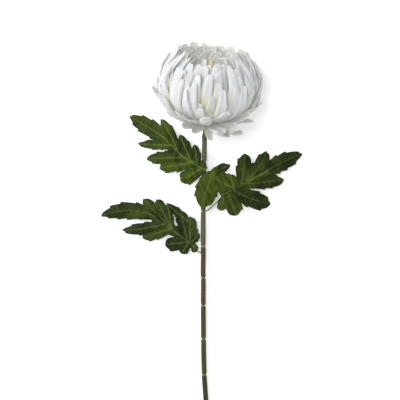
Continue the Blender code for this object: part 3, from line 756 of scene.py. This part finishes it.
def evened(places, triangles, values):
    """The values, averaged with those at the neighbouring points a few times."""
    pairs = np.concatenate([triangles[:, (k, k - 1)] for k in range(3)])
    pairs = np.concatenate((pairs, pairs[:, ::-1]))
    count = np.bincount(pairs[:, 0], minlength=len(places))
    for _ in range(3):
        values = 0.5 * values + 0.5 * np.bincount(pairs[:, 0], values[pairs[:, 1]], len(places)) / count
    return values


# Waves and creases in the cloth: direction in degrees, wavelength and height in millimetres.
WAVES = ((20, 21, 0.8), (108, 14, 0.6), (160, 9, 0.3))
CREASES = (29, 7.5, 0.7)


def wave_height(wave, places):
    turn, length, height = math.radians(wave[0]), wave[1], wave[2]
    return height * np.sin((places @ (math.cos(turn), math.sin(turn))) * 2 * math.pi / length)


def blade(name, lobes):
    outlines = [lobe_outline(lobe, 60) for lobe in lobes]
    border, edges = union_border(outlines)
    places = np.concatenate((border, fill_places(outlines, border, BLADE_SPACING)))
    found = delaunay_2d_cdt([Vector(place) for place in places], edges, [], 0, 1e-5)
    places = np.array(found[0])
    triangles = np.array(found[2])
    triangles = triangles[inside(outlines, places[triangles].mean(axis=1))]
    used, triangles = np.unique(triangles, return_inverse=True)
    places, triangles = places[used], triangles.reshape(-1, 3)
    main, side, fold, tone_and_painted_light = blade_veins(lobes, places)
    tree = near_tree(border)
    edge = 1 - smooth(0.0, 1.6, np.array([tree.find((*place, 0))[2] for place in places]))
    tone_and_painted_light = evened(places, triangles, tone_and_painted_light)
    height = blade_height(lobes, places) + 0.35 * main + 0.12 * side - evened(places, triangles, fold)
    height += sum(wave_height(wave, places) for wave in WAVES)
    creased = wave_height(CREASES, places) * smooth(0.4, 0.7, tone_and_painted_light)
    height += creased
    height = np.maximum(height, 0.3)
    points = np.column_stack((places * MM + PLAN, height * MM))
    # The creases are painted into the colour too: painted light on their crests, painted shade in their
    # hollows.
    layers = {"vein": np.clip(main + 0.22 * side, 0, 1), "edge": edge, "tone_and_painted_light": tone_and_painted_light + 0.45 * creased}
    made = piece(name, points, triangles, LEAF_FINISHES[name], [name + "_blade"], layers)
    body = made.modifiers.new("thickness", "SOLIDIFY")
    body.thickness = LEAF_THICK
    body.offset = 0
    print(name, "points:", len(points))
    return made


blades = [blade(name, lobes) for name, lobes in LEAVES.items()]

# %% [markdown]
# ## The stem
#
# The stem is moulded plastic over a steel wire. It is notched every 30 to 44 mm so that it can be bent and
# cut, and each segment was sprayed in its own shade of green or brown. Its course is read from the CAD wire,
# which runs through its middle; a curve joins its upper end to the calyx.

# %% The course of the stem
NOTCHES = (79.6, 46.6, 16, -13.5, -56.5, -95, -129, -170, -214, -257)  # along the plan's y
STEM_RADIUS = 3.0 * MM
NECK_RADIUS = 1.8 * MM
SHOULDER = 3.0 * MM


def ring_centres(name, sides):
    """Centres of groups of neighbouring points along a CAD rod, from the head towards the cut end. The rod
    has a few points over whole rings, so groups can span two rings, and the last one ends about 7 mm short."""
    points = node_points(name)
    points = points[np.argsort(-points[:, 1])]
    groups = [points[k:k + sides] for k in range(0, len(points) - sides + 1, sides)]
    return np.array([group.mean(axis=0) for group in groups])


def curve_through(knots, first_slope, step):
    """Points about this far apart on a smooth curve through the knots."""
    slopes = [np.array(first_slope)]
    for before, after in zip(knots[:-2], knots[2:]):
        slopes.append((after - before) / np.linalg.norm(after - before))
    slopes.append((knots[-1] - knots[-2]) / np.linalg.norm(knots[-1] - knots[-2]))
    points = []
    for a, b, leave, arrive in zip(knots, knots[1:], slopes, slopes[1:]):
        span = np.linalg.norm(b - a)
        share = np.arange(max(2, round(span / step)))[:, None] / max(2, round(span / step))
        s2, s3 = share**2, share**3
        points.append(a * (2 * s3 - 3 * s2 + 1) + leave * span * (s3 - 2 * s2 + share)
                      + b * (3 * s2 - 2 * s3) + arrive * span * (s3 - s2))
    return np.concatenate(points + [knots[-1:]])


calyx_foot = HEAD + AXIS * (-54.1 * MM)
wire_line = ring_centres("stem_wire", 8)
stem_line = curve_through(np.vstack((calyx_foot, wire_line)), -AXIS, 0.6 * MM)
print("stem points:", len(stem_line), "from", (stem_line[0] / MM).round(), "to", (stem_line[-1] / MM).round())


# %% A tube along a course
def tube(course, radii, sides):
    """Points and faces of a closed tube; radii may be an array per point and side."""
    along = np.gradient(course, axis=0)
    along /= np.linalg.norm(along, axis=1)[:, None]
    across = np.cross(along, (0, 0, 1))
    across /= np.linalg.norm(across, axis=1)[:, None]
    up = np.cross(across, along)
    turn = np.linspace(0, 2 * math.pi, sides, endpoint=False)
    radii = np.broadcast_to(np.asarray(radii).reshape(len(course), -1), (len(course), sides))
    ring = across[:, None] * np.sin(turn)[None, :, None] - up[:, None] * np.cos(turn)[None, :, None]
    points = (course[:, None] + ring * radii[..., None]).reshape(-1, 3)
    faces = grid_faces(len(course), sides, closed=True)
    faces.append(tuple(range(sides)))
    faces.append(tuple(reversed(range(len(points) - sides, len(points)))))
    return points, faces


# %% The stem's finish
def stem_finish():
    made, tree, shader = finish("stem_spray", Roughness=0.45, Specular_IOR_Level=0.18)
    shade = layer_value(tree, "shade", "Color")
    place = add(tree, "ShaderNodeTexCoord").outputs["Object"]
    long_noise = add(tree, "ShaderNodeMapping", {"Vector": place, "Scale": (900, 90, 900)}).outputs[0]
    drawn = {"Vector": long_noise, "Scale": 1.0, "Detail": 4.0}
    streaks = add(tree, "ShaderNodeTexNoise", drawn).outputs["Fac"]
    light = add(tree, "ShaderNodeMapRange", {0: streaks, 1: 0.3, 2: 0.7, 3: 0.68, 4: 1.3}).outputs[0]
    tree.links.new(mixed(tree, 1.0, shade, light, "MULTIPLY"), shader.inputs["Base Color"])
    rough = add(tree, "ShaderNodeMapRange", {0: streaks, 1: 0.3, 2: 0.7, 3: 0.38, 4: 0.58}).outputs[0]
    tree.links.new(rough, shader.inputs["Roughness"])
    bump = add(tree, "ShaderNodeBump", {"Height": streaks, "Strength": 0.4, "Distance": 0.0004})
    tree.links.new(bump.outputs[0], shader.inputs["Normal"])
    return made


STEM_SPRAY = stem_finish()

# %% The stem
SEGMENT_SHADES = (
    (0.075, 0.085, 0.03), (0.105, 0.115, 0.062), (0.115, 0.12, 0.07), (0.095, 0.105, 0.055),
    (0.105, 0.108, 0.06), (0.078, 0.054, 0.026), (0.086, 0.061, 0.028), (0.071, 0.058, 0.024),
    (0.055, 0.065, 0.022), (0.047, 0.044, 0.020), (0.054, 0.056, 0.026),
)
NOTCH_SHADE = np.array((0.22, 0.23, 0.12))


def stem_shape():
    y = stem_line[:, 1] - PLAN[1]
    notches = np.array(NOTCHES) * MM
    gap = np.abs(y[:, None] - notches[None])
    near = gap.min(axis=1)
    bulge = np.sqrt(np.clip(1 - (1 - near / SHOULDER) ** 2, 0, 1))
    radius = np.where(near < SHOULDER, NECK_RADIUS + (STEM_RADIUS - NECK_RADIUS) * bulge, STEM_RADIUS)
    radius = np.where(y > notches[0], NECK_RADIUS, radius)
    segment = (y[:, None] < notches[None]).sum(axis=1)
    shades = np.array(SEGMENT_SHADES)[segment]
    pale = np.exp(-((near / (0.9 * MM)) ** 2))[:, None] * (y < notches[0] - 5 * MM)[:, None]
    return radius, shades * (1 - pale) + NOTCH_SHADE * pale


STEM_SIDES = 24
radius, shades = stem_shape()
ridges = 1 + 0.045 * np.cos(5 * np.linspace(0, 2 * math.pi, STEM_SIDES, endpoint=False) + 0.9)
points, faces = tube(stem_line, radius[:, None] * ridges, STEM_SIDES)
colours = np.repeat(np.column_stack((shades, np.ones(len(shades)))), STEM_SIDES, axis=0)
stem = piece("stem_moulding", points, faces, STEM_SPRAY, ["stem"], {"shade": colours})
print("stem faces:", len(faces))

# %% [markdown]
# ## Pieces kept from the CAD model
#
# The ribs under the leaves, the calyx, the pin, the eye and the wire already have the right shape. They keep
# their CAD mesh, rounded by modifiers, and get a finish.


# %% Kept pieces
def plain_plastic(name, colour, roughness):
    made, tree, shader = finish(name, Base_Color=colour, Roughness=roughness)
    place = add(tree, "ShaderNodeTexCoord").outputs["Object"]
    noise = add(tree, "ShaderNodeTexNoise", {"Vector": place, "Scale": 400.0, "Detail": 4.0}).outputs["Fac"]
    light = add(tree, "ShaderNodeMapRange", {0: noise, 1: 0.3, 2: 0.7, 3: 0.8, 4: 1.12}).outputs[0]
    tree.links.new(mixed(tree, 1.0, colour, light, "MULTIPLY"), shader.inputs["Base Color"])
    bump = add(tree, "ShaderNodeBump", {"Height": noise, "Strength": 0.3, "Distance": 0.0004})
    tree.links.new(bump.outputs[0], shader.inputs["Normal"])
    return made


KEPT = {
    "calyx": plain_plastic("calyx_plastic", (0.10, 0.14, 0.045, 1), 0.5),
    "flower_pin": plain_plastic("pin_plastic", (0.2, 0.24, 0.1, 1), 0.5),
    "flower_eye": plain_plastic("eye_ochre", (0.60, 0.53, 0.34, 1), 0.6),
    "stem_wire": plain_plastic("wire_grey", (0.35, 0.35, 0.35, 1), 0.4),
    "leaf_upper_left_rib": plain_plastic("rib_light", (0.20, 0.27, 0.08, 1), 0.5),
    "leaf_right_rib": plain_plastic("rib_mid", (0.18, 0.22, 0.09, 1), 0.5),
    "leaf_lower_left_rib": plain_plastic("rib_dark", (0.15, 0.20, 0.07, 1), 0.5),
}
for name, look in KEPT.items():
    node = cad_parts[name]
    node.data.materials.clear()
    node.data.materials.append(look)
    node.data.shade_smooth()
    weld = node.modifiers.new("weld", "WELD")
    weld.merge_threshold = 0.00001
    rounding = node.modifiers.new("rounding", "SUBSURF")
    rounding.levels = rounding.render_levels = 1

# %% [markdown]
# ## The studio
#
# A plain white table that glows a little, so that shadows on it stay faint, a wide soft key light above and
# to the left, a smaller one high up near the camera, and an even sky.

# %% Floor, lights and sky
bpy.context.scene.view_settings.view_transform = "Standard"

floor_mesh = bpy.data.meshes.new("floor")
floor_mesh.from_pydata([(-4, -4, 0), (4, -4, 0), (4, 4, 0), (-4, 4, 0)], [], [(0, 1, 2, 3)])
floor = bpy.data.objects.new("floor", floor_mesh)
bpy.context.scene.collection.objects.link(floor)
floor_white = finish("floor_white", Base_Color=(0.9, 0.9, 0.9, 1), Roughness=0.9, Emission_Strength=0.38)
floor_mesh.materials.append(floor_white[0])


def soft_light(name, place, target, size, power, colour):
    light = bpy.data.lights.new(name, "AREA")
    light.size = size
    light.energy = power
    light.color = colour
    made = bpy.data.objects.new(name, light)
    bpy.context.scene.collection.objects.link(made)
    made.location = place
    made.rotation_euler = (Vector(target) - Vector(place)).to_track_quat("-Z", "Y").to_euler()


soft_light("key", (-1.3, 0.5, 1.3), tuple(HEAD), 0.8, 17, (0.97, 0.98, 1.0))
soft_light("overhead", (PLAN[0] - 0.25, PLAN[1] + 0.15, 1.7), (*PLAN, 0.0), 0.4, 10, (1.0, 0.99, 0.98))
world = bpy.data.worlds.new("sky")
bpy.context.scene.world = world
world.use_nodes = True
world.node_tree.nodes["Background"].inputs["Color"].default_value = (0.96, 0.97, 1.0, 1)
world.node_tree.nodes["Background"].inputs["Strength"].default_value = 0.42
